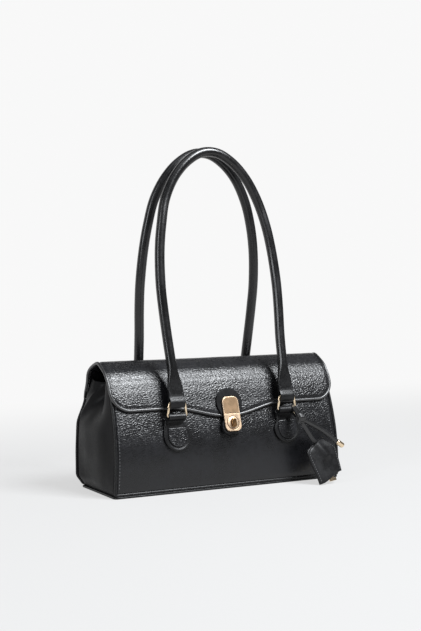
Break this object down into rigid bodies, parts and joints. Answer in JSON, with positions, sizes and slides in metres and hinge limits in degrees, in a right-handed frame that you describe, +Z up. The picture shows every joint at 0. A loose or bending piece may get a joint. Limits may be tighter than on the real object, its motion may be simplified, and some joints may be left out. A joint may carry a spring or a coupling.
{
  "type": "shoulder bag",
  "caption": "Small black leather shoulder bag with an arched flap, a turn lock, tall handles on metal rings, and a lanyard with a key bell.",
  "frame": {"origin": "on the floor under the middle of the base", "axes": "+Z up, -Y out of the front with the lock, +X to the right as the front is looked at"},
  "size_m": [0.3074, 0.1406, 0.3918],
  "materials": {
    "grained_leather": "black, fine pebbled grain, half gloss",
    "smooth_leather": "black, smooth, half gloss",
    "lining_cloth": "dark woven cloth",
    "pale_gold": "polished pale gold plate",
    "brushed_gold": "brushed tan-gold plate",
    "dark_bronze": "dark polished bronze",
    "stiff_board": "pressed fibre board"
  },
  "bodies": {
    "shell": {"back_panel": "grained_leather", "back_piping": "smooth_leather", "base_board": "stiff_board", "base_panel": "smooth_leather", "front_left_ring_tab": "smooth_leather", "front_panel": "grained_leather", "front_piping": "smooth_leather", "front_right_ring_tab": "smooth_leather", "inner_pocket": "lining_cloth", "left_gusset": "smooth_leather", "lining": "lining_cloth", "lock_lower_plate": "pale_gold", "lock_pad": "smooth_leather", "lock_washer": "pale_gold", "rear_left_ring_tab": "smooth_leather", "rear_right_ring_tab": "smooth_leather", "right_gusset": "smooth_leather"},
    "flap": {"flap": "grained_leather", "flap_bead": "smooth_leather", "lock_tab": "smooth_leather", "lock_upper_plate": "brushed_gold"},
    "knob": {"turn_knob": "dark_bronze"},
    "front_rings": {"front_left_ring": "pale_gold", "front_right_ring": "pale_gold"},
    "front_handle": {"front_handle": "smooth_leather", "front_left_handle_loop": "smooth_leather", "front_right_handle_loop": "smooth_leather"},
    "rear_rings": {"rear_left_ring": "pale_gold", "rear_right_ring": "pale_gold"},
    "rear_handle": {"rear_handle": "smooth_leather", "rear_left_handle_loop": "smooth_leather", "rear_right_handle_loop": "smooth_leather"},
    "charm": {"lanyard_loop": "smooth_leather", "lanyard_knot": "smooth_leather", "lanyard_tail": "smooth_leather", "tail_cap": "pale_gold", "lanyard_drop": "smooth_leather", "bell_key": "pale_gold"},
    "bell": {"key_bell": "smooth_leather"}
  },
  "joints": [
    {"name": "front_handle_fall", "type": "hinge", "parent": "shell", "child": "front_rings", "pos_m": [0, -0.04589, 0.086], "axis": [1, 0, 0], "range_deg": [0, 70]},
    {"name": "flap_lift", "type": "hinge", "parent": "shell", "child": "flap", "pos_m": [0, 0.0453, 0.1018], "axis": [-1, 0, 0], "range_deg": [0, 110]},
    {"name": "rear_handle_fall", "type": "hinge", "parent": "shell", "child": "rear_rings", "pos_m": [0, 0.05328, 0.086], "axis": [-1, 0, 0], "range_deg": [0, 110]},
    {"name": "front_handle_tilt", "type": "hinge", "parent": "front_rings", "child": "front_handle", "pos_m": [0, -0.04639, 0.1025], "axis": [1, 0, 0], "range_deg": [0, 40]},
    {"name": "rear_handle_tilt", "type": "hinge", "parent": "rear_rings", "child": "rear_handle", "pos_m": [0, 0.05378, 0.1025], "axis": [-1, 0, 0], "range_deg": [0, 40]},
    {"name": "knob_turn", "type": "hinge", "parent": "shell", "child": "knob", "pos_m": [0, -0.04399, 0.07398], "axis": [0, -0.9561, 0.293], "range_deg": [0, 90]},
    {"name": "charm_swing", "type": "hinge", "parent": "shell", "child": "charm", "pos_m": [0.0809, -0.04589, 0.086], "axis": [-1, 0, 0], "range_deg": [0, 12]},
    {"name": "bell_slide", "type": "slide", "parent": "charm", "child": "bell", "axis": [-0.1202, 0.3004, 0.9462], "range_m": [0, 0.005]}
  ],
  "couplings": [
    {"joint": "flap_lift", "follows": "front_handle_fall", "ratio": 1.5714},
    {"joint": "rear_handle_fall", "follows": "front_handle_fall", "ratio": 1.5714}
  ]
}
